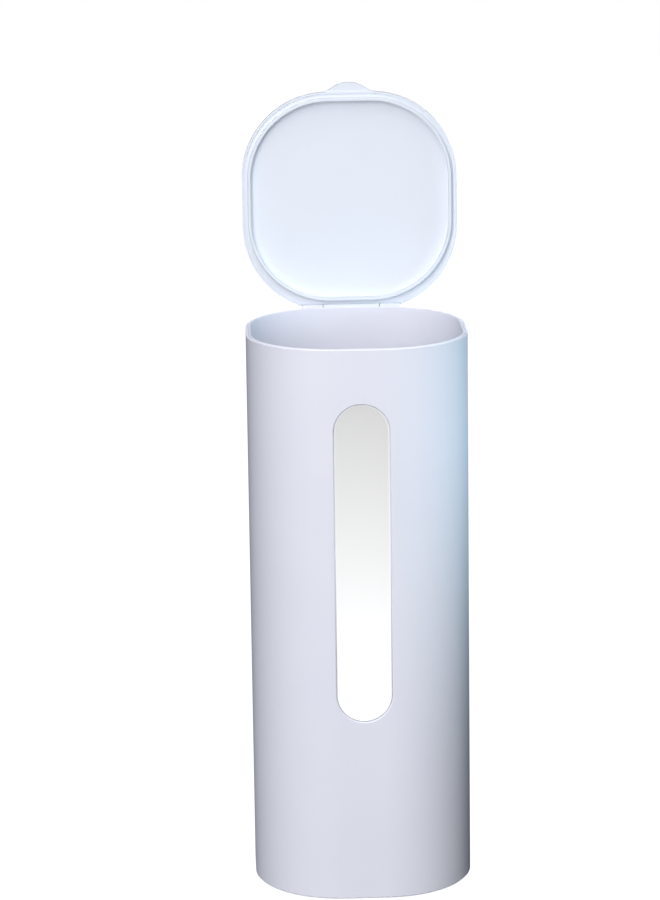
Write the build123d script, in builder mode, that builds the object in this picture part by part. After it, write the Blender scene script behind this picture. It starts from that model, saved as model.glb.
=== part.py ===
from build123d import *
from math import cos, radians, sin
import os

# Wall-hung paper cup dispenser in millimetres, with its lid standing open.
# X is to the right, +Y goes into the wall and +Z is up, so the window faces -Y.
# The origin is the centre of the adhesive pad's rear face, which meets the wall.

os.makedirs("parts", exist_ok=True)

# The paper cup that the dispenser is made for, measured over its rolled rim
cup_rim_radius = 38.0

# Tube: a rounded square with a flat strip down the middle of each side
cup_room = 6.0
tube_wall = 2.0
tube_flat_width = 18.0
tube_height = 235.5
rim_above_plate = 35.5
rebate_width = 0.9
rebate_depth = 0.7
base_edge_chamfer = 0.8
rim_edge_chamfer = 0.3

# Window and its lens
window_width = 23.2
window_bottom = 77.5
window_top_inset = 23.0
window_edge_chamfer = 0.4
lens_clearance = 0.1
lens_flange = 2.5
lens_flange_thickness = 0.9
lens_seat_depth = 0.6
lens_recess = 0.7

# Wall mount: pad, plate and T-shaped rail, and the shoe that hangs on it
pad_thickness = 1.0
pad_margin = 2.0
pad_hole_radius = 4.5
plate_width = 56.0
plate_height = 100.0
plate_thickness = 2.5
plate_corner_radius = 7.0
plate_edge_chamfer = 0.6
screw_hole_radius = 2.25
screw_hole_inset = 12.0
rail_length = 50.0
rail_neck_width = 12.0
rail_head_width = 20.0
rail_head_thickness = 1.7
rail_lead = 0.8
shoe_width = 30.0
shoe_margin = 5.0
shoe_depth = 4.2
shoe_gap = 0.3
shoe_lip = 1.4
shoe_edge_radius = 1.5
rail_clearance = 0.15
hang_gap = 0.1

# Lid and hinge
lid_open_angle = 91.0
lid_tail = 0.6
lid_corner_ease = 0.4
lid_height = 3.2
lid_recess = 1.0
lid_edge_chamfer = 1.0
lid_seat_gap = 0.2
lip_depth = 2.8
lip_width = 1.3
lip_clearance = 0.3
lip_edge_chamfer = 0.4
bead_width = 0.8
bead_depth = 0.6
tab_base_width = 22.0
tab_tip_width = 10.0
tab_reach = 4.0
hinge_behind = 1.4
hinge_below = 1.3
barrel_radius = 2.2
hinge_pin_radius = 1.0
hinge_pin_clearance = 0.05
hinge_end_inset = 0.5
knuckle_half_length = 12.0
knuckle_gap = 0.3
ear_width = 8.7
ear_drop = 9.0
ear_neck = 0.5
shelf_reach = 3.9
shelf_thickness = 1.7
stop_gap = 0.1

# Outlet: collar with four spring catches, and the trim ring under it
outlet_inset = 1.0
trim_thickness = 2.0
collar_height = 12.0
collar_clearance = 0.3
throat_clearance = 1.3
throat_lead = 1.6

# Catches, their pins and springs
catch_count = 4
pivot_setback = 3.9
pivot_height = 5.5
hub_radius = 2.3
hub_clearance = 0.4
catch_half_width = 5.0
catch_side_clearance = 0.2
catch_overlap = 1.8
arm_thickness = 1.2
arm_web = 1.0
arm_edge_chamfer = 0.3
hub_side = 1.3
stop_lip = 0.7
catch_stop_gap = 0.1
catch_pin_radius = 0.8
catch_pin_clearance = 0.04
catch_pin_half_length = 8.0
ledge_inset = 0.35
spring_thickness = 0.3
spring_bend_radius = 1.0
spring_arm_angle = 20.0
spring_side_gap = 0.3
spring_gap = 0.05

# Screws that hold the outlet, and their bosses in the tube
screw_count = 2
screw_side_angle = 20.0
screw_setback = 3.5
screw_radius = 1.1
screw_clearance = 0.2
screw_pilot_clearance = 0.02
screw_length = 20.0
screw_cap_radius = 2.0
screw_cap_inset = 0.1
boss_radius = 2.7
boss_height = 12.0
pilot_depth = 9.0

# Guide ribs in the tube's corners
rib_thickness = 1.6
rib_start = 15.0
rib_top_inset = 30.0
rib_lead = 6.0

# Cuts run past the faces that they open by this much
overrun = 1.0

# Places that follow from these sizes
tube_width = 2 * (cup_rim_radius + cup_room + tube_wall)
tube_corner_radius = (tube_width - tube_flat_width) / 2
wall_standoff = pad_thickness + plate_thickness + shoe_gap + shoe_depth
tube_axis_y = -(wall_standoff + tube_width / 2)
tube_rim_z = plate_height / 2 + rim_above_plate
tube_base_z = tube_rim_z - tube_height
bore_width = tube_width - 2 * tube_wall
bore_corner_radius = tube_corner_radius - tube_wall
hinge_y = tube_axis_y + tube_width / 2 + hinge_behind
hinge_z = tube_rim_z - hinge_below
shoe_rear_y = -(pad_thickness + plate_thickness + shoe_gap)
throat_radius = cup_rim_radius + throat_clearance
pivot_radius = throat_radius + pivot_setback
screw_circle_radius = throat_radius + screw_setback
catch_tip_radius = cup_rim_radius - catch_overlap
collar_base = outlet_inset + trim_thickness
collar_top = collar_base + collar_height
pivot_z = collar_base + pivot_height
catch_angles = [45.0 + 360.0 * step / catch_count for step in range(catch_count)]
screw_places = [
    Vector(screw_circle_radius, 0).rotate(Axis.Z, screw_side_angle + 360.0 * step / screw_count)
    for step in range(screw_count)
]


def tube_plane(height):
    """A level plane on the tube's axis, at a height above the tube's lower edge."""
    return Plane(origin=(0, tube_axis_y, tube_base_z + height))


def radial_plane(angle, height, radius=0.0):
    """An upright plane through the tube's axis: x points at the axis, y up and z along the tangent."""
    away = Vector(cos(radians(angle)), sin(radians(angle)), 0)
    origin = Vector(0, tube_axis_y, tube_base_z + height) + away * radius
    return Plane(origin=origin, x_dir=-away, z_dir=(-away.Y, away.X, 0))


def lid_plane(height):
    """A plane of the open lid. Its axes are those of the shut lid, measured from the hinge's axis."""
    outward = (0, sin(radians(lid_open_angle)), cos(radians(lid_open_angle)))
    return Plane(origin=(0, hinge_y, hinge_z), x_dir=(1, 0, 0), z_dir=outward).offset(height)


def wall_reach(angle):
    """How far from the tube's axis the middle of the wall lies, at an angle that meets a corner's round."""
    along = (abs(cos(radians(angle))) + abs(sin(radians(angle)))) * tube_flat_width / 2
    round_radius = tube_corner_radius - tube_wall / 2
    return along + (along**2 - tube_flat_width**2 / 2 + round_radius**2) ** 0.5


def front_plane(y, height=0.0, facing=-1):
    """An upright plane across the front, at a height from the origin, that faces -Y or +Y."""
    return Plane(origin=(0, y, height), x_dir=(1, 0, 0), z_dir=(0, facing, 0))


def side_plane(x):
    """An upright plane across the hinge: x points into the wall and y up, from the hinge's axis."""
    return Plane(origin=(x, hinge_y, hinge_z), x_dir=(0, 1, 0), z_dir=(1, 0, 0))


# Housing shell
# A tube of rounded-square section, with the window, the shoe for the rail, the hinge's ears,
# the guide ribs and the bosses for the outlet's screws moulded in one piece.

shoe_height = rail_length + 2 * shoe_margin
ear_start = knuckle_half_length + knuckle_gap
ear_end = ear_start + ear_width
lid_base = hinge_below + lid_seat_gap
lid_top = lid_base + lid_height
lid_length = tube_width + hinge_behind + lid_tail
lid_corner_radius = tube_corner_radius - lid_corner_ease
shelf_level = -lid_tail * sin(radians(lid_open_angle)) + lid_top * cos(radians(lid_open_angle)) - stop_gap
window_length = tube_height - window_bottom - window_top_inset
window_z = tube_base_z + window_bottom + window_length / 2
lens_seat_margin = lens_flange + lens_clearance
front_wall_y = tube_axis_y - tube_width / 2
lens_seat_y = front_wall_y + tube_wall - lens_seat_depth
rib_bottom = collar_top + rib_start
rib_top = tube_height - rib_top_inset

with BuildPart() as housing_shell:
    with BuildSketch(tube_plane(0)):
        RectangleRounded(tube_width, tube_width, tube_corner_radius)
    extrude(amount=tube_height)
    chamfer(housing_shell.edges().group_by(Axis.Z)[0], base_edge_chamfer)

    with BuildSketch(tube_plane(tube_height)):
        RectangleRounded(tube_width + overrun, tube_width + overrun, tube_corner_radius + overrun / 2)
        RectangleRounded(
            tube_width - 2 * rebate_width,
            tube_width - 2 * rebate_width,
            tube_corner_radius - rebate_width,
            mode=Mode.SUBTRACT,
        )
    extrude(amount=-rebate_depth, mode=Mode.SUBTRACT)

    # Shoe: a flat pad on the rear face
    with BuildSketch(front_plane(shoe_rear_y)):
        RectangleRounded(shoe_width, shoe_height, shoe_edge_radius)
    extrude(amount=shoe_depth + tube_wall)

    # Ears: a barrel at each end of the hinge, with its gusset and the shelf that stops the lid
    for side in (-1, 1):
        with BuildSketch(side_plane(side * (ear_start + ear_width / 2))):
            Circle(barrel_radius)
            with BuildLine():
                Polyline(
                    (-hinge_behind - tube_wall - overrun, ear_neck),
                    (0, ear_neck),
                    (0, shelf_level),
                    (shelf_reach, shelf_level),
                    (shelf_reach, shelf_level - shelf_thickness),
                    (-hinge_behind, -ear_drop),
                    (-hinge_behind - tube_wall - overrun, -ear_drop),
                    close=True,
                )
            make_face()
        extrude(amount=ear_width / 2, both=True)

    with BuildSketch(tube_plane(-overrun)):
        RectangleRounded(bore_width, bore_width, bore_corner_radius)
    extrude(amount=tube_height + 2 * overrun, mode=Mode.SUBTRACT)

    # Guide ribs that keep the round stack in the middle of the square tube
    for angle in catch_angles:
        with BuildSketch(radial_plane(angle, 0)):
            with BuildLine():
                Polyline(
                    (-throat_radius, rib_bottom + rib_lead),
                    (-throat_radius, rib_top - rib_lead),
                    (-wall_reach(angle), rib_top),
                    (-wall_reach(angle), rib_bottom),
                    close=True,
                )
            make_face()
        extrude(amount=rib_thickness / 2, both=True)

    # Bosses for the outlet's screws
    for place in screw_places:
        boss_plane = Plane(tube_plane(collar_top).origin, x_dir=place)
        with BuildSketch(boss_plane):
            with Locations((screw_circle_radius, 0)):
                Circle(boss_radius)
                Rectangle(
                    wall_reach(screw_side_angle) - screw_circle_radius,
                    2 * boss_radius,
                    align=(Align.MIN, Align.CENTER),
                )
        extrude(amount=boss_height)
    with BuildSketch(tube_plane(collar_top)):
        with Locations(*screw_places):
            Circle(screw_radius + screw_pilot_clearance)
    extrude(amount=pilot_depth, mode=Mode.SUBTRACT)

    # Window slot, and the flat seat for the lens around it inside
    with BuildSketch(front_plane(lens_seat_y, window_z, facing=1)):
        SlotOverall(window_length + 2 * lens_seat_margin, window_width + 2 * lens_seat_margin, rotation=90)
    extrude(amount=tube_wall + overrun, mode=Mode.SUBTRACT)
    with BuildSketch(front_plane(front_wall_y - overrun, window_z, facing=1)):
        SlotOverall(window_length, window_width, rotation=90)
    extrude(amount=tube_wall + 2 * overrun, mode=Mode.SUBTRACT)

    window_edges = housing_shell.edges().filter_by(
        lambda edge: edge.center().Y < front_wall_y + rebate_width
        and abs(edge.center().X) < window_width / 2 + window_edge_chamfer
        and abs(edge.center().Z - window_z) < window_length / 2 + window_edge_chamfer
    )
    chamfer(window_edges, window_edge_chamfer)
    chamfer(housing_shell.edges().filter_by_position(Axis.Z, tube_rim_z, tube_rim_z), rim_edge_chamfer)

    # T-shaped slot for the rail, open below and closed above
    slot_top = rail_length / 2 + hang_gap
    slot_bottom = -shoe_height / 2 - overrun
    lip_inner_y = shoe_rear_y - shoe_lip
    head_inner_y = lip_inner_y - rail_head_thickness - 2 * rail_clearance
    with BuildSketch(Plane(origin=(0, 0, slot_bottom))):
        with Locations((0, shoe_rear_y + overrun)):
            Rectangle(
                rail_neck_width + 2 * rail_clearance,
                shoe_lip + 2 * overrun,
                align=(Align.CENTER, Align.MAX),
            )
        with Locations((0, lip_inner_y)):
            Rectangle(
                rail_head_width + 2 * rail_clearance,
                lip_inner_y - head_inner_y,
                align=(Align.CENTER, Align.MAX),
            )
    extrude(amount=slot_top - slot_bottom, mode=Mode.SUBTRACT)

    # Bore for the hinge pin, and the hollow that the lid's knuckle turns in
    with BuildSketch(side_plane(-ear_end - overrun)):
        Circle(hinge_pin_radius + hinge_pin_clearance)
    extrude(amount=2 * (ear_end + overrun), mode=Mode.SUBTRACT)
    with BuildSketch(side_plane(-ear_start)):
        Circle(barrel_radius + knuckle_gap)
    extrude(amount=2 * ear_start, mode=Mode.SUBTRACT)

housing_shell.part.label = "housing_shell"
export_step(housing_shell.part, "parts/housing_shell.step")


# Window lens: a clear plate that fills the slot, with a flange inside the wall

with BuildPart() as window_lens:
    with BuildSketch(front_plane(lens_seat_y, window_z, facing=1)):
        SlotOverall(window_length + 2 * lens_flange, window_width + 2 * lens_flange, rotation=90)
    extrude(amount=lens_flange_thickness)
    with BuildSketch(front_plane(lens_seat_y, window_z)):
        SlotOverall(window_length - 2 * lens_clearance, window_width - 2 * lens_clearance, rotation=90)
    extrude(amount=tube_wall - lens_seat_depth - lens_recess)

window_lens.part.label = "window_lens"
export_step(window_lens.part, "parts/window_lens.step")


# Lid: a shallow cap with a tab at the front edge, a bead round the outside and a lip that plugs
# into the tube. Its sketches are those of the shut lid.

lid_middle = lid_tail - lid_length / 2
tube_middle = -hinge_behind - tube_width / 2
lip_outer_width = bore_width - 2 * lip_clearance
lip_outer_radius = bore_corner_radius - lip_clearance
tab_flank = (tab_base_width - tab_tip_width) / 4
tab_root_y = lid_tail - lid_length

with BuildPart() as lid:
    with BuildSketch(lid_plane(lid_base)):
        with Locations((0, lid_middle)):
            RectangleRounded(tube_width, lid_length, lid_corner_radius)
        with BuildLine():
            right_root = TangentArc(
                (tab_base_width / 2, tab_root_y),
                (tab_base_width / 2 - tab_flank, tab_root_y - tab_reach / 2),
                tangent=(-1, 0),
            )
            right_tip = TangentArc(
                right_root @ 1,
                (tab_tip_width / 2, tab_root_y - tab_reach),
                tangent=right_root % 1,
            )
            tip = Line(right_tip @ 1, (-tab_tip_width / 2, tab_root_y - tab_reach))
            left_tip = TangentArc(
                tip @ 1,
                (-tab_base_width / 2 + tab_flank, tab_root_y - tab_reach / 2),
                tangent=(-1, 0),
            )
            left_root = TangentArc(
                left_tip @ 1,
                (-tab_base_width / 2, tab_root_y),
                tangent=left_tip % 1,
            )
            Polyline(
                left_root @ 1,
                (-tab_base_width / 2, tab_root_y + tab_reach),
                (tab_base_width / 2, tab_root_y + tab_reach),
                right_root @ 0,
            )
        make_face()
    extrude(amount=lid_height)
    top_edges = lid.faces().sort_by(Axis(lid_plane(0).origin, lid_plane(0).z_dir))[-1].edges()
    chamfer(top_edges, lid_edge_chamfer)

    with BuildSketch(lid_plane(lid_base)):
        with Locations((0, lid_middle)):
            RectangleRounded(tube_width, lid_length, lid_corner_radius)
            RectangleRounded(
                tube_width - 2 * bead_width,
                lid_length - 2 * bead_width,
                lid_corner_radius - bead_width,
                mode=Mode.SUBTRACT,
            )
    extrude(amount=-bead_depth)

    with BuildSketch(lid_plane(lid_base)):
        with Locations((0, tube_middle)):
            RectangleRounded(lip_outer_width, lip_outer_width, lip_outer_radius)
    extrude(amount=-lip_depth)
    lip_edges = lid.faces().sort_by(Axis(lid_plane(0).origin, lid_plane(0).z_dir))[0].edges()
    chamfer(lip_edges, lip_edge_chamfer)
    with BuildSketch(lid_plane(lid_base - lip_depth - overrun)):
        with Locations((0, tube_middle)):
            RectangleRounded(
                lip_outer_width - 2 * lip_width,
                lip_outer_width - 2 * lip_width,
                lip_outer_radius - lip_width,
            )
    extrude(amount=overrun + lip_depth + lid_recess, mode=Mode.SUBTRACT)

    # The bead stops at the hinge, and the ears turn in two notches
    with BuildSketch(lid_plane(lid_base)):
        Rectangle(2 * (ear_end + knuckle_gap), 2 * (lid_tail + overrun))
    extrude(amount=-bead_depth - overrun, mode=Mode.SUBTRACT)
    for side in (-1, 1):
        with BuildSketch(side_plane(side * (ear_start + ear_width / 2))):
            Circle(barrel_radius + knuckle_gap)
        extrude(amount=ear_width / 2 + knuckle_gap, both=True, mode=Mode.SUBTRACT)

    # Knuckle on the hinge pin
    with BuildSketch(side_plane(-knuckle_half_length)):
        Circle(barrel_radius)
    extrude(amount=2 * knuckle_half_length)
    with BuildSketch(side_plane(-knuckle_half_length - overrun)):
        Circle(hinge_pin_radius + hinge_pin_clearance)
    extrude(amount=2 * (knuckle_half_length + overrun), mode=Mode.SUBTRACT)

lid.part.label = "lid"
export_step(lid.part, "parts/lid.step")


# Hinge pin

with BuildPart() as hinge_pin:
    with BuildSketch(side_plane(-ear_end + hinge_end_inset)):
        Circle(hinge_pin_radius)
    extrude(amount=2 * (ear_end - hinge_end_inset))

hinge_pin.part.label = "hinge_pin"
export_step(hinge_pin.part, "parts/hinge_pin.step")


# Wall plate with its T-shaped rail and two screw holes, which the tube leaves room for the heads of

screw_hole_spacing = plate_height - 2 * screw_hole_inset

with BuildPart() as wall_plate:
    with BuildSketch(front_plane(-pad_thickness)):
        RectangleRounded(plate_width, plate_height, plate_corner_radius)
        with GridLocations(0, screw_hole_spacing, 1, 2):
            Circle(screw_hole_radius, mode=Mode.SUBTRACT)
    extrude(amount=plate_thickness)
    front_edges = wall_plate.faces().sort_by(Axis.Y)[0].outer_wire().edges()
    chamfer(front_edges, plate_edge_chamfer)

    neck_length = shoe_gap + shoe_lip + rail_clearance
    with BuildSketch(front_plane(-pad_thickness - plate_thickness)):
        Rectangle(rail_neck_width, rail_length)
    extrude(amount=neck_length)
    with BuildSketch(front_plane(-pad_thickness - plate_thickness - neck_length)):
        Rectangle(rail_head_width, rail_length)
    extrude(amount=rail_head_thickness)
    head_edges = wall_plate.edges().filter_by(Axis.X).group_by(Axis.Y)[0]
    chamfer(head_edges.sort_by(Axis.Z)[-1], rail_lead)

wall_plate.part.label = "wall_plate"
export_step(wall_plate.part, "parts/wall_plate.step")


# Adhesive pad behind the plate

with BuildPart() as adhesive_pad:
    with BuildSketch(front_plane(0)):
        RectangleRounded(
            plate_width - 2 * pad_margin,
            plate_height - 2 * pad_margin,
            plate_corner_radius - pad_margin,
        )
        with GridLocations(0, screw_hole_spacing, 1, 2):
            Circle(pad_hole_radius, mode=Mode.SUBTRACT)
    extrude(amount=pad_thickness)

adhesive_pad.part.label = "adhesive_pad"
export_step(adhesive_pad.part, "parts/adhesive_pad.step")


# Outlet collar: a ring that fills the tube's foot, with a funnel above, a pocket in each corner
# for a catch, and a tangent bore for the catch's pin that comes in from the ring's side

collar_width = bore_width - 2 * collar_clearance
collar_corner_radius = bore_corner_radius - collar_clearance
pocket_half_width = catch_half_width + catch_side_clearance
pocket_back = -(hub_radius + hub_clearance)
throat_face = pivot_radius - throat_radius
pocket_front = throat_face - stop_lip
pocket_roof = hub_radius + hub_clearance
pocket_floor = -pivot_height - overrun


def on_throat(edge):
    """Whether an edge lies on the round throat."""
    return edge.geom_type == GeomType.CIRCLE and abs(edge.radius - throat_radius) < throat_clearance


with BuildPart() as outlet_collar:
    with BuildSketch(tube_plane(collar_base)):
        RectangleRounded(collar_width, collar_width, collar_corner_radius)
        Circle(throat_radius, mode=Mode.SUBTRACT)
        with Locations(*screw_places):
            Circle(screw_radius + screw_clearance, mode=Mode.SUBTRACT)
    extrude(amount=collar_height)
    chamfer(outlet_collar.edges().group_by(Axis.Z)[-1].filter_by(on_throat), throat_lead)

    for angle in catch_angles:
        pivot_plane = radial_plane(angle, pivot_z, pivot_radius)
        with BuildSketch(pivot_plane):
            with Locations((pocket_back, pocket_floor)):
                Rectangle(
                    pocket_front - pocket_back,
                    pocket_roof - pocket_floor,
                    align=(Align.MIN, Align.MIN),
                )
            with Locations((pocket_front, pocket_floor)):
                Rectangle(
                    stop_lip + throat_lead + overrun,
                    catch_stop_gap - pocket_floor,
                    align=(Align.MIN, Align.MIN),
                )
        extrude(amount=pocket_half_width, both=True, mode=Mode.SUBTRACT)
        with BuildSketch(pivot_plane.offset(-catch_pin_half_length)):
            Circle(catch_pin_radius + catch_pin_clearance)
        extrude(amount=catch_pin_half_length + tube_corner_radius, mode=Mode.SUBTRACT)

outlet_collar.part.label = "outlet_collar"
export_step(outlet_collar.part, "parts/outlet_collar.step")


# Trim ring that covers the pockets from below, notched for the catches' downward swing

with BuildPart() as outlet_trim:
    with BuildSketch(tube_plane(outlet_inset)):
        RectangleRounded(collar_width, collar_width, collar_corner_radius)
        Circle(throat_radius, mode=Mode.SUBTRACT)
        with Locations(*screw_places):
            Circle(screw_radius + screw_clearance, mode=Mode.SUBTRACT)
    extrude(amount=trim_thickness)
    for angle in catch_angles:
        with BuildSketch(radial_plane(angle, outlet_inset - overrun, pivot_radius)):
            with Locations((hub_radius, 0)):
                Rectangle(
                    throat_face + overrun,
                    trim_thickness + 2 * overrun,
                    align=(Align.MIN, Align.MIN),
                )
        extrude(amount=pocket_half_width, both=True, mode=Mode.SUBTRACT)

outlet_trim.part.label = "outlet_trim"
export_step(outlet_trim.part, "parts/outlet_trim.step")


# The two screws that hold trim ring and collar to the tube's bosses

with BuildPart() as outlet_screws:
    with BuildSketch(tube_plane(screw_cap_inset)):
        with Locations(*screw_places):
            Circle(screw_cap_radius)
    extrude(amount=outlet_inset - screw_cap_inset)
    with BuildSketch(tube_plane(outlet_inset)):
        with Locations(*screw_places):
            Circle(screw_radius)
    extrude(amount=screw_length)

outlet_screws.part.label = "outlet_screws"
export_step(outlet_screws.part, "parts/outlet_screws.step")


# Catches, their pins and their springs
# Each catch carries the lowest cup's rim on a flat arm. It swings down when the cup is pulled,
# and its leaf spring, which stands on the trim ring, lifts it back against its pocket's lip.

arm_reach = pivot_radius - catch_tip_radius
arm_start = hub_radius - ledge_inset
spring_start = hub_side + spring_side_gap


def write_catch(angle, number):
    pivot_plane = radial_plane(angle, pivot_z, pivot_radius)
    with BuildPart() as cup_catch:
        with BuildSketch(pivot_plane.offset(-catch_half_width)) as arm_profile:
            with BuildLine():
                Polyline(
                    (0, 0),
                    (arm_reach, 0),
                    (arm_reach, -arm_thickness),
                    (arm_web, -hub_radius),
                    (0, -hub_radius),
                    close=True,
                )
            make_face()
            chamfer(arm_profile.vertices().group_by(Axis.X)[-1], arm_edge_chamfer)
            Circle(hub_radius)
        extrude(amount=catch_half_width + hub_side)
        with BuildSketch(pivot_plane.offset(-catch_half_width)) as ledge_profile:
            with Locations((arm_reach, 0)):
                Rectangle(arm_reach - arm_start, arm_thickness, align=(Align.MAX, Align.MAX))
            chamfer(ledge_profile.vertices().group_by(Axis.X)[-1], arm_edge_chamfer)
        extrude(amount=2 * catch_half_width)
        with BuildSketch(pivot_plane.offset(-catch_half_width - overrun)):
            Circle(catch_pin_radius + catch_pin_clearance)
        extrude(amount=2 * (catch_half_width + overrun), mode=Mode.SUBTRACT)
    cup_catch.part.label = f"cup_catch_{number}"
    export_step(cup_catch.part, f"parts/cup_catch_{number}.step")


def write_catch_pin(angle, number):
    with BuildPart() as catch_pin:
        with BuildSketch(radial_plane(angle, pivot_z, pivot_radius)):
            Circle(catch_pin_radius)
        extrude(amount=catch_pin_half_length, both=True)
    catch_pin.part.label = f"catch_pin_{number}"
    export_step(catch_pin.part, f"parts/catch_pin_{number}.step")


def write_catch_spring(angle, number):
    pivot_plane = radial_plane(angle, pivot_z, pivot_radius)
    foot_level = spring_thickness / 2 - pivot_height
    arm_level = -arm_thickness - spring_gap - spring_thickness / 2
    with BuildPart() as catch_spring:
        with BuildSketch(pivot_plane.offset(spring_start)):
            with BuildLine():
                foot = Line((hub_radius, foot_level), (-hub_side, foot_level))
                bend = JernArc(foot @ 1, foot % 1, spring_bend_radius, spring_arm_angle - 180)
                PolarLine(
                    bend @ 1,
                    arm_level - (bend @ 1).Y,
                    direction=bend % 1,
                    length_mode=LengthMode.VERTICAL,
                )
            trace(line_width=spring_thickness)
        extrude(amount=catch_half_width - spring_side_gap - spring_start)
    catch_spring.part.label = f"catch_spring_{number}"
    export_step(catch_spring.part, f"parts/catch_spring_{number}.step")


for number, angle in enumerate(catch_angles, start=1):
    write_catch(angle, number)
    write_catch_pin(angle, number)
    write_catch_spring(angle, number)
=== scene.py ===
from math import cos, radians, sin

import bmesh
import bpy
from mathutils import Matrix, Vector


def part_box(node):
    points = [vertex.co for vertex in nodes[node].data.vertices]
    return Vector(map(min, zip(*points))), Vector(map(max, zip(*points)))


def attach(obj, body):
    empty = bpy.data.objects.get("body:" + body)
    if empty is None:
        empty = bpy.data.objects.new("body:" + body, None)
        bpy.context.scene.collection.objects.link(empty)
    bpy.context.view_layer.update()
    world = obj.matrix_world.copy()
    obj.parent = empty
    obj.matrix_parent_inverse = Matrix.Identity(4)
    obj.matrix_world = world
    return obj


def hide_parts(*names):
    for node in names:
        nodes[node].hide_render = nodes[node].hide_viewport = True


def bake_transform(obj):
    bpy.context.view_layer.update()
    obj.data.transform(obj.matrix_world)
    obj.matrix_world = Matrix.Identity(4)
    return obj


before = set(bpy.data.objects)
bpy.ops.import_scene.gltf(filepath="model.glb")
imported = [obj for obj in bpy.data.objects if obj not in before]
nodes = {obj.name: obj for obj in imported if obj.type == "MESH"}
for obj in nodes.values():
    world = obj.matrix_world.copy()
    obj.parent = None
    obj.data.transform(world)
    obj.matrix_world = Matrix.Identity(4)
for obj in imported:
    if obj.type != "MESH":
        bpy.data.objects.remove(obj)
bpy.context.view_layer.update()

MM = 0.001
UP = (0, 0, 1)
WHITE = (1.0, 1.0, 1.0)
BLACK = (0.0, 0.0, 0.0)


# Node work: a socket that takes arithmetic, and one method for every other node

# The colour sockets of a Mix node go by number, because its other sockets have the same names
MIX_FACTOR, MIX_FIRST, MIX_SECOND, MIX_RESULT = 0, 6, 7, 2


class Socket:
    """One output of a shader node. Sums, differences and products of it add Math nodes."""

    def __init__(self, finish, output):
        self.finish = finish
        self.output = output

    def __add__(self, other):
        return self.finish.math("ADD", self, other)

    def __radd__(self, other):
        return self.finish.math("ADD", other, self)

    def __sub__(self, other):
        return self.finish.math("SUBTRACT", self, other)

    def __rsub__(self, other):
        return self.finish.math("SUBTRACT", other, self)

    def __mul__(self, other):
        return self.finish.math("MULTIPLY", self, other)

    def __rmul__(self, other):
        return self.finish.math("MULTIPLY", other, self)

    def part(self, name):
        """Another output of the same node."""
        return Socket(self.finish, self.output.node.outputs[name])


def set_stops(ramp, stops):
    """Places and colours the stops of a colour ramp."""
    while len(ramp.elements) < len(stops):
        ramp.elements.new(0.5)
    for element, (place, tone) in zip(ramp.elements, stops):
        element.position = place
        element.color = (*tone, 1.0)


class Finish:
    """The node tree of a material or of the world, emptied to start with."""

    def __init__(self, tree):
        self.tree = tree
        self.tree.nodes.clear()

    def node(self, kind, settings=None, values=None, output=0):
        """A new node: first its settings, then the values and links of its sockets."""
        made = self.tree.nodes.new(kind)
        for name, value in (settings or {}).items():
            if name == "stops":
                set_stops(made.color_ramp, value)
            else:
                setattr(made, name, value)
        for name, value in (values or {}).items():
            entry = made.inputs[name]
            if isinstance(value, Socket):
                self.tree.links.new(value.output, entry)
            elif entry.type == "RGBA":
                entry.default_value = (*value, 1.0)
            else:
                entry.default_value = value
        return Socket(self, made.outputs[output]) if made.outputs else None

    def math(self, operation, first, second=0.0):
        """A Math node on sockets or numbers."""
        return self.node("ShaderNodeMath", {"operation": operation}, {0: first, 1: second})

    def place(self, scale=(1.0, 1.0, 1.0)):
        """Object coordinates, stretched along the axes."""
        coordinates = self.node("ShaderNodeTexCoord", output="Object")
        return self.node("ShaderNodeMapping", values={"Vector": coordinates, "Scale": scale})

    def noise(self, size, detail=3.0, place=None):
        """Noise from 0 to 1 whose features are about this many metres across."""
        values = {"Vector": place or self.place(), "Scale": 1.0 / size, "Detail": detail}
        return self.node("ShaderNodeTexNoise", values=values)

    def mix(self, factor, first, second):
        """A colour between two, by a factor."""
        values = {MIX_FACTOR: factor, MIX_FIRST: first, MIX_SECOND: second}
        return self.node("ShaderNodeMix", {"data_type": "RGBA"}, values, output=MIX_RESULT)

    def remap(self, value, low, high, to_low=0.0, to_high=1.0):
        """The run of a value from low to high, laid over another run and held at its ends."""
        values = {"Value": value, "From Min": low, "From Max": high, "To Min": to_low, "To Max": to_high}
        return self.node("ShaderNodeMapRange", {"clamp": True}, values)

    def bump(self, height, distance):
        """A relief of this depth in metres, for a Normal socket."""
        return self.node("ShaderNodeBump", values={"Height": height, "Distance": distance})

    def surface(self, values):
        """A Principled shader with these values, as the material's surface."""
        shader = self.node("ShaderNodeBsdfPrincipled", values=values)
        self.node("ShaderNodeOutputMaterial", values={"Surface": shader})


def colour(red, green, blue):
    """The linear colour of display values, by the sRGB curve above its short straight foot."""
    return tuple(((value + 0.055) / 1.055) ** 2.4 for value in (red, green, blue))


def new_finish(name):
    """A material and its node tree."""
    material = bpy.data.materials.new(name)
    material.use_nodes = True
    return material, Finish(material.node_tree)


# Finishes


def plastic(name, tone, shade, roughness, peel, gloss=0.5):
    """Moulded plastic: faint flow clouds and specks, an orange-peel skin, and handling haze in its gloss."""
    speck_share = 0.05
    haze_swing = 0.03
    material, finish = new_finish(name)
    clouds = finish.noise(35 * MM, detail=2.0)
    specks = finish.noise(0.9 * MM, detail=2.0)
    skin = finish.noise(1.6 * MM, detail=2.0)
    haze = finish.noise(18 * MM, detail=2.0)
    body = finish.mix(finish.remap(clouds, 0.35, 0.65), tone, shade)
    body = finish.mix(finish.remap(specks, 0.6, 0.8, to_high=speck_share), body, shade)
    finish.surface(
        {
            "Base Color": body,
            "Roughness": finish.remap(haze, 0.3, 0.7, roughness - haze_swing, roughness + haze_swing),
            "Normal": finish.bump(skin, peel),
            "Specular IOR Level": gloss,
        }
    )
    return material


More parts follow.
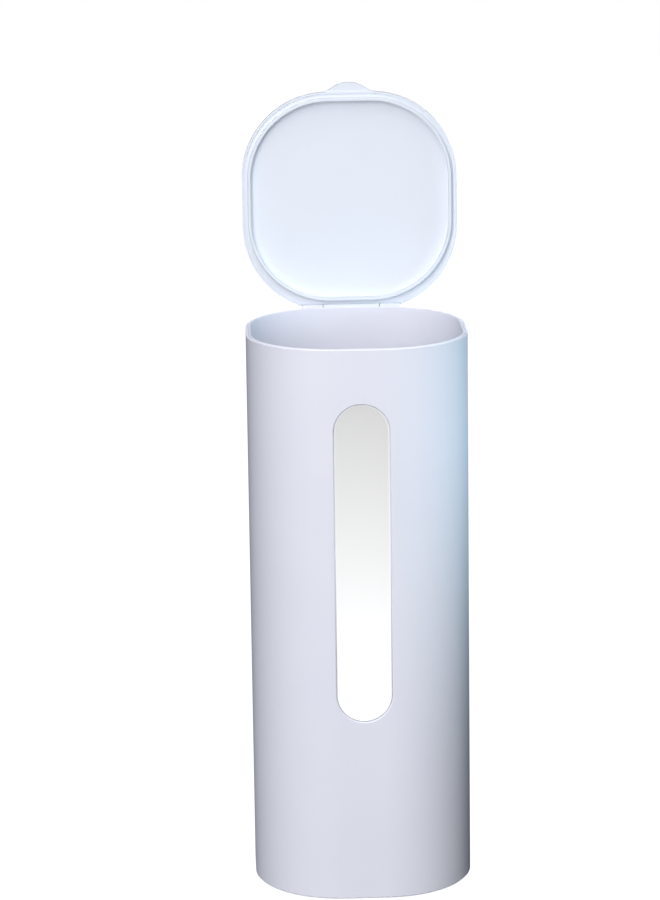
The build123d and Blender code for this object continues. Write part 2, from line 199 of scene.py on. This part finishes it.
def metal(name, tone, shade, roughness, grain):
    """Drawn or turned steel: fine streaks along the piece in tone, gloss and relief, under a faint stain."""
    stain_share = 0.35
    streak_depth = 0.012 * MM
    smoothest, roughest = roughness - 0.06, roughness + 0.1
    material, finish = new_finish(name)
    streaks = finish.noise(0.4 * MM, place=finish.place(grain))
    stain = finish.noise(3 * MM)
    body = finish.mix(finish.remap(streaks, 0.3, 0.7), tone, shade)
    body = finish.mix(finish.remap(stain, 0.5, 0.8, to_high=stain_share), body, shade)
    finish.surface(
        {
            "Base Color": body,
            "Metallic": 1.0,
            "Roughness": finish.remap(streaks, 0.3, 0.7, smoothest, roughest),
            "Normal": finish.bump(streaks, streak_depth),
        }
    )
    return material


def foam(name, tone, painted_pore_shade):
    """Closed-cell foam tape: round pores, painted darker in their hollows as painted shade, and a soft nap.
    """
    cell_size = 0.9 * MM
    pore_depth = 0.15 * MM
    pore_share, nap_share = 0.7, 0.3
    material, finish = new_finish(name)
    cells = finish.node("ShaderNodeTexVoronoi", values={"Vector": finish.place(), "Scale": 1.0 / cell_size})
    nap = finish.noise(0.4 * MM)
    # Painted shade: the colour darkens towards the middle of each pore, where its bump is deepest
    finish.surface(
        {
            "Base Color": finish.mix(finish.remap(cells, 0.1, 0.5), painted_pore_shade, tone),
            "Roughness": finish.remap(nap, 0.2, 0.8, 0.78, 0.92),
            "Normal": finish.bump(cells * pore_share + nap * nap_share, pore_depth),
        }
    )
    return material


def frosted_lens(name, low, high, rim):
    """Milky clear plastic with a painted highlight round its rim, for a lens with a rim of this radius.

    Its tone and its glow change with height, as painted light: the tone is painted grey towards the top and
    white at the foot of the window, where the lens is painted glowing.
    """
    material, finish = new_finish(name)
    across = finish.node("ShaderNodeSeparateXYZ", values={"Vector": finish.place()})
    height = across.part("Z")
    rise = finish.remap(height, low.z, high.z)

    # How far a point is from the lens's middle line, round its ends as well
    straight = ((high.z - low.z) - (high.x - low.x)) / 2
    off_middle = height - (high.z + low.z) / 2
    past_straight = finish.math("MAXIMUM", finish.math("ABSOLUTE", off_middle) - straight)
    reach = finish.math("SQRT", across * across + past_straight * past_straight)

    # Painted highlight: a bright line just inside the rim, stronger towards the right side
    painted_highlight_from_right = finish.remap(across, -rim, rim, 0.2, 0.8)
    painted_rim_highlight = finish.remap(reach, rim - 0.9 * MM, rim - 0.3 * MM) * painted_highlight_from_right
    # Painted shade: a grey line just inside the rim, strongest at the foot and fading out towards the top
    fades_upwards = finish.remap(rise, 0.2, 0.9, 1.0, 0.0)
    painted_edge_shade = finish.remap(reach, rim - 0.5 * MM, rim - 0.25 * MM) * fades_upwards

    # Painted shade and light: the milky tone is grey at the top of the lens and white at its foot
    stops = [(0.0, WHITE), (0.5, colour(0.945, 0.943, 0.935)), (1.0, colour(0.898, 0.894, 0.886))]
    painted_milk_gradient = finish.node("ShaderNodeValToRGB", {"stops": stops}, {"Fac": rise})
    body = finish.mix(painted_edge_shade, finish.mix(painted_rim_highlight, painted_milk_gradient, WHITE), colour(0.86, 0.865, 0.865))
    # Painted light: the lens glows white at its foot, fading out towards the top and along the painted edge
    # shade
    glow = finish.mix(finish.math("MAXIMUM", rise, painted_edge_shade), WHITE, BLACK)
    grain = finish.noise(1.1 * MM)
    fog = finish.noise(20 * MM)
    finish.surface(
        {
            "Base Color": body,
            "Roughness": finish.remap(fog, 0.3, 0.7, 0.16, 0.24),
            "Normal": finish.bump(grain, 0.008 * MM),
            "Transmission Weight": 0.1,
            "Emission Color": glow,
            "Emission Strength": 0.27,
            "Specular IOR Level": 0.3,
            "IOR": 1.45,
        }
    )
    return material


shell_finish = plastic(
    "gloss_shell_plastic",
    tone=colour(0.905, 0.91, 0.948),
    shade=colour(0.898, 0.904, 0.943),
    roughness=0.48,
    peel=0.006 * MM,
    gloss=0.03,
)
lid_finish = plastic(
    "satin_lid_plastic",
    tone=colour(0.895, 0.915, 0.945),
    shade=colour(0.888, 0.909, 0.941),
    roughness=0.42,
    peel=0.008 * MM,
    gloss=0.12,
)
outlet_finish = plastic(
    "matt_outlet_plastic",
    tone=colour(0.87, 0.88, 0.9),
    shade=colour(0.85, 0.86, 0.885),
    roughness=0.45,
    peel=0.02 * MM,
)
catch_finish = plastic(
    "matt_catch_plastic",
    tone=colour(0.82, 0.83, 0.86),
    shade=colour(0.79, 0.8, 0.84),
    roughness=0.4,
    peel=0.02 * MM,
)
plate_finish = plastic(
    "matt_plate_plastic",
    tone=colour(0.9, 0.9, 0.92),
    shade=colour(0.88, 0.885, 0.905),
    roughness=0.42,
    peel=0.02 * MM,
)
pin_finish = metal(
    "drawn_pin_steel",
    tone=colour(0.78, 0.78, 0.8),
    shade=colour(0.66, 0.66, 0.69),
    roughness=0.26,
    grain=(0.08, 1.0, 1.0),
)
spring_finish = metal(
    "drawn_spring_steel",
    tone=colour(0.7, 0.7, 0.73),
    shade=colour(0.55, 0.56, 0.6),
    roughness=0.3,
    grain=(1.0, 1.0, 0.12),
)
screw_finish = metal(
    "plated_screw_steel",
    tone=colour(0.76, 0.77, 0.79),
    shade=colour(0.62, 0.63, 0.67),
    roughness=0.28,
    grain=(1.0, 1.0, 0.3),
)
pad_finish = foam("foam_tape", tone=colour(0.82, 0.82, 0.84), painted_pore_shade=colour(0.66, 0.66, 0.69))

lens_low, lens_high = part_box("window_lens")
lens_finish = frosted_lens("frosted_lens_painted_light", lens_low, lens_high, rim=11.5 * MM)


# Pieces that refine the frame's nodes: joined faces, eased edges and smooth rounds

WELD = 0.002 * MM
FLAT_ANGLE = radians(0.3)
EASED_ANGLE = radians(25.0)
SMOOTH_ANGLE = radians(32.0)


def add_object(name, data):
    """A new object of this data in the scene."""
    made = bpy.data.objects.new(name, data)
    bpy.context.scene.collection.objects.link(made)
    return made


def join_flats(work):
    """Joins the faces of one flat."""
    bmesh.ops.remove_doubles(work, verts=work.verts, dist=WELD)
    bmesh.ops.dissolve_limit(
        work, angle_limit=FLAT_ANGLE, use_dissolve_boundaries=False, verts=work.verts, edges=work.edges
    )


def draw_in_tab(work):
    """Narrows the lid's tab towards its tip, so that its sides run out in a long S-curve."""
    _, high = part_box("lid")
    tab_reach = 4.0 * MM
    tip_draw = 0.64
    for vert in work.verts:
        rise = (vert.co.z - high.z) / tab_reach + 1.0
        if rise > 0.0:
            vert.co.x *= 1.0 - tip_draw * rise * rise


def ease_edges(work, ease):
    """Rounds over the edges between different flats."""
    corners = [edge for edge in work.edges if edge.is_manifold and edge.calc_face_angle(0.0) > EASED_ANGLE]
    bmesh.ops.bevel(
        work,
        geom=corners,
        offset=ease,
        offset_type="OFFSET",
        segments=2,
        profile=0.5,
        affect="EDGES",
        clamp_overlap=True,
        material=-1,
    )


def piece_from(work, name, finish):
    """A shaded piece of one finish, from a finished mesh."""
    for face in work.faces:
        face.smooth = True
    for edge in work.edges:
        edge.smooth = edge.calc_face_angle(0.0) < SMOOTH_ANGLE
    mesh = bpy.data.meshes.new(name)
    work.to_mesh(mesh)
    work.free()
    mesh.materials.append(finish)
    piece = add_object(name, mesh)
    weights = piece.modifiers.new("face_weights", "WEIGHTED_NORMAL")
    weights.keep_sharp = True
    weights.weight = 80
    return piece


def eased_copy(node, ease, reshape=None):
    """A copy of a node's mesh with its faces joined and its sharp edges eased."""
    work = bmesh.new()
    work.from_mesh(nodes[node].data)
    join_flats(work)
    if reshape:
        reshape(work)
    ease_edges(work, ease)
    return work


def dress(node, body, finish, ease, reshape=None):
    """An eased piece that stands for a node and moves with its body."""
    piece = piece_from(eased_copy(node, ease, reshape), f"{node}_finished", finish)
    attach(piece, body)
    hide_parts(node)


def dress_spring(number):
    """A leaf spring that stays in place, with its foot on the trim ring and its arm cut into bands."""
    node = f"catch_spring_{number}"
    arm_root_share = 0.42
    bands = 16
    low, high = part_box(node)
    arm_root = low + (high - low) * arm_root_share
    work = eased_copy(node, 0.04 * MM)
    for band in range(1, bands):
        cut = arm_root.lerp(high, band / bands)
        geom = [*work.verts, *work.edges, *work.faces]
        bmesh.ops.bisect_plane(work, geom=geom, dist=0.0001 * MM, plane_co=cut, plane_no=UP)
    piece = piece_from(work, f"{node}_finished", spring_finish)
    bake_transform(piece)
    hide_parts(node)


dress("housing_shell", "housing", shell_finish, ease=0.15 * MM)
dress("lid", "lid", lid_finish, ease=0.15 * MM, reshape=draw_in_tab)
dress("window_lens", "housing", lens_finish, ease=0.3 * MM)
dress("outlet_collar", "housing", outlet_finish, ease=0.12 * MM)
dress("outlet_trim", "housing", outlet_finish, ease=0.12 * MM)
dress("hinge_pin", "housing", pin_finish, ease=0.15 * MM)
dress("wall_plate", "wall_mount", plate_finish, ease=0.15 * MM)
dress("adhesive_pad", "wall_mount", pad_finish, ease=0.1 * MM)
for number in range(1, 5):
    dress(f"cup_catch_{number}", f"catch_{number}", catch_finish, ease=0.12 * MM)
    dress(f"catch_pin_{number}", "housing", pin_finish, ease=0.12 * MM)
    dress_spring(number)


# Outlet screws: a domed head with a six-lobed socket, and a cut thread on a pointed shank


def lathe(work, profile, steps):
    """Turns a profile of radius and height round the vertical axis."""
    verts = [work.verts.new((radius, 0, height)) for radius, height in profile]
    edges = [work.edges.new(pair) for pair in zip(verts, verts[1:])]
    bmesh.ops.spin(
        work, geom=verts + edges, cent=(0, 0, 0), axis=UP, angle=radians(360), steps=steps, use_merge=True
    )


def cut_thread(work, core, crest, pitch, low, turns, steps):
    """A ridge that winds up the vertical axis, with this many steps to a turn, closed at both ends."""
    ridge = 0.6 * pitch
    corners = ((core, low), (crest, low + ridge / 2), (core, low + ridge))
    verts = [work.verts.new((radius, 0, height)) for radius, height in corners]
    face = work.faces.new(verts)
    bmesh.ops.spin(
        work,
        geom=[face, *face.edges, *verts],
        cent=(0, 0, 0),
        axis=UP,
        dvec=(0, 0, pitch / steps),
        angle=radians(360 * turns),
        steps=steps * turns,
    )


def cut_lobes(work, hub, mouth, top):
    """Draws the socket's wall, between two radii and below a height, in to six lobes."""
    lobes = 6
    lobe_depth = 0.15
    for vert in work.verts:
        reach = Vector((vert.co.x, vert.co.y))
        if hub < reach.length < mouth and vert.co.z < top:
            draw = 1.0 - lobe_depth + lobe_depth * cos(lobes * reach.angle_signed(Vector((1, 0))))
            vert.co.x *= draw
            vert.co.y *= draw


def outlet_screws():
    """Both screws of the outlet as one piece."""
    low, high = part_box("outlet_screws")
    trim_low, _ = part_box("outlet_trim")
    head_radius = 2.0 * MM
    core_radius = 0.85 * MM
    crest_radius = 1.1 * MM
    socket_depth = 0.55 * MM
    point_length = 1.4 * MM
    plain_shank = 1.2 * MM
    thread_pitch = 0.8 * MM
    thread_turns = 20
    foot = low.z
    seat = trim_low.z
    well = foot + socket_depth
    # From the middle of the socket's floor, out round the head and up the shank to its point
    profile = [
        (0.0, well),
        (0.95 * MM, well),
        (1.15 * MM, foot),
        (1.45 * MM, foot),
        (1.8 * MM, foot + 0.12 * MM),
        (head_radius, foot + 0.45 * MM),
        (head_radius, seat),
        (core_radius, seat),
        (core_radius, high.z - point_length),
        (0.0, high.z),
    ]
    work = bmesh.new()
    lathe(work, profile, steps=48)
    bmesh.ops.remove_doubles(work, verts=work.verts, dist=WELD)
    cut_lobes(work, hub=0.1 * MM, mouth=1.2 * MM, top=well + 0.01 * MM)
    thread_root = core_radius - 0.05 * MM
    cut_thread(work, thread_root, crest_radius, thread_pitch, seat + plain_shank, thread_turns, steps=16)
    bmesh.ops.recalc_face_normals(work, faces=work.faces)

    first = list(work.verts)
    twin = bmesh.ops.duplicate(work, geom=[*work.verts, *work.edges, *work.faces])["geom"]
    second = [item for item in twin if isinstance(item, bmesh.types.BMVert)]
    centre = Vector(((low.x + high.x) / 2, (low.y + high.y) / 2, 0))
    place = Vector((high.x - head_radius, high.y - head_radius, 0))
    bmesh.ops.translate(work, verts=first, vec=place)
    bmesh.ops.translate(work, verts=second, vec=2 * centre - place)
    piece = piece_from(work, "outlet_screws_turned", screw_finish)
    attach(piece, "housing")
    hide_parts("outlet_screws")


outlet_screws()


# Camera, placed as it looks on the dispenser from slightly above

view_yaw = -0.0330
view_pitch = 0.2309
view_roll = -0.0137
view_distance = 1.50224
view_target = Vector((-0.011513, -0.054, 0.033119))

back = Vector((sin(view_yaw) * cos(view_pitch), -cos(view_yaw) * cos(view_pitch), sin(view_pitch)))
level_right = (-back).cross(Vector(UP)).normalized()
level_up = level_right.cross(-back)
camera_right = level_right * cos(view_roll) + level_up * sin(view_roll)
camera_up = level_up * cos(view_roll) - level_right * sin(view_roll)
camera_data = bpy.data.cameras.new("camera")
camera_data.lens = 142.85
camera_data.sensor_width = 36.0
camera_data.clip_start = 0.05
camera_data.clip_end = 60.0
camera = add_object("camera", camera_data)
turn = Matrix((camera_right, camera_up, back)).transposed()
camera.matrix_world = Matrix.Translation(view_target + back * view_distance) @ turn.to_4x4()
bpy.context.scene.camera = camera
bpy.context.scene.view_settings.view_transform = "Standard"


# Floor and room: both are paper white where the camera sees them, and dimmer in the light they give


def seen_ray(finish):
    """One for a ray that shows the background: to the camera or through something clear."""
    camera_ray = finish.node("ShaderNodeLightPath", output="Is Camera Ray")
    return finish.math("MAXIMUM", camera_ray, camera_ray.part("Is Transmission Ray"))


floor_height = -1.3
floor_reach = 12.0
floor_work = bmesh.new()
bmesh.ops.create_grid(floor_work, x_segments=1, y_segments=1, size=floor_reach)
bmesh.ops.translate(floor_work, verts=floor_work.verts, vec=(0, 0, floor_height))
floor_mesh = bpy.data.meshes.new("floor")
floor_work.to_mesh(floor_mesh)
floor_work.free()
floor = add_object("floor", floor_mesh)

floor_finish, ground = new_finish("pale_floor")
matt = ground.node("ShaderNodeBsdfDiffuse", values={"Color": colour(0.93, 0.93, 0.935)})
glow = ground.node("ShaderNodeEmission", values={"Color": WHITE, "Strength": 0.88})
seen_floor = ground.node("ShaderNodeAddShader", values={0: matt, 1: glow})
dim_floor = ground.node("ShaderNodeBsdfDiffuse", values={"Color": colour(0.42, 0.47, 0.5)})
floor_surface = ground.node("ShaderNodeMixShader", values={0: seen_ray(ground), 1: dim_floor, 2: seen_floor})
ground.node("ShaderNodeOutputMaterial", values={"Surface": floor_surface})
floor_mesh.materials.append(floor_finish)

studio = bpy.data.worlds.new("studio")
studio.use_nodes = True
bpy.context.scene.world = studio
room = Finish(studio.node_tree)
dark_side = Vector((0.75, 0.6, -0.5)).normalized()
way = room.node("ShaderNodeTexCoord", output="Generated")
towards_dark = room.node(
    "ShaderNodeVectorMath", {"operation": "DOT_PRODUCT"}, {0: way, 1: tuple(dark_side)}, output="Value"
)
room_tone = room.mix(room.remap(towards_dark, -0.6, 0.5), colour(0.95, 0.96, 0.99), colour(0.1, 0.12, 0.14))
room_light = room.node("ShaderNodeBackground", values={"Color": room_tone, "Strength": 0.34})
paper = room.node("ShaderNodeBackground", values={"Color": WHITE, "Strength": 1.0})
room_surface = room.node("ShaderNodeMixShader", values={0: seen_ray(room), 1: room_light, 2: paper})
room.node("ShaderNodeOutputWorld", values={"Surface": room_surface})


# Lamps


def softbox(name, place, aim, width, height, power, tone=WHITE):
    """A rectangular area lamp that faces a point, with its sides in metres and its power in watts."""
    data = bpy.data.lights.new(name, "AREA")
    data.shape = "RECTANGLE"
    data.size = width
    data.size_y = height
    data.energy = power
    data.color = tone
    lamp = add_object(name, data)
    lamp.location = place
    lamp.rotation_euler = (Vector(aim) - Vector(place)).to_track_quat("-Z", "Y").to_euler()
    return lamp


middle = (0.0, -0.054, 0.0)
right_edge = (0.04, -0.054, 0.05)
under_lamp = softbox("under_softbox", (0.0, -0.1, -1.2), middle, width=0.3, height=0.3, power=5.0)
softbox(
    "front_softbox",
    (-0.4, -1.8, 0.62),
    middle,
    width=0.9,
    height=1.4,
    power=26.0,
    tone=(1.0, 0.99, 1.0),
)
softbox("top_softbox", (-0.05, -0.7, 1.3), middle, width=0.9, height=0.9, power=6.9)
rear_lamp = softbox("rear_softbox", (0.0, 2.0, 0.6), middle, width=0.5, height=0.8, power=26.0)
side_lamp = softbox(
    "side_softbox",
    (0.3, -0.095, 0.1),
    right_edge,
    width=0.12,
    height=0.12,
    power=0.056,
    tone=(0.57, 0.82, 0.94),
)
under_lamp.visible_glossy = False
rear_lamp.visible_glossy = False
side_lamp.data.spread = radians(54)
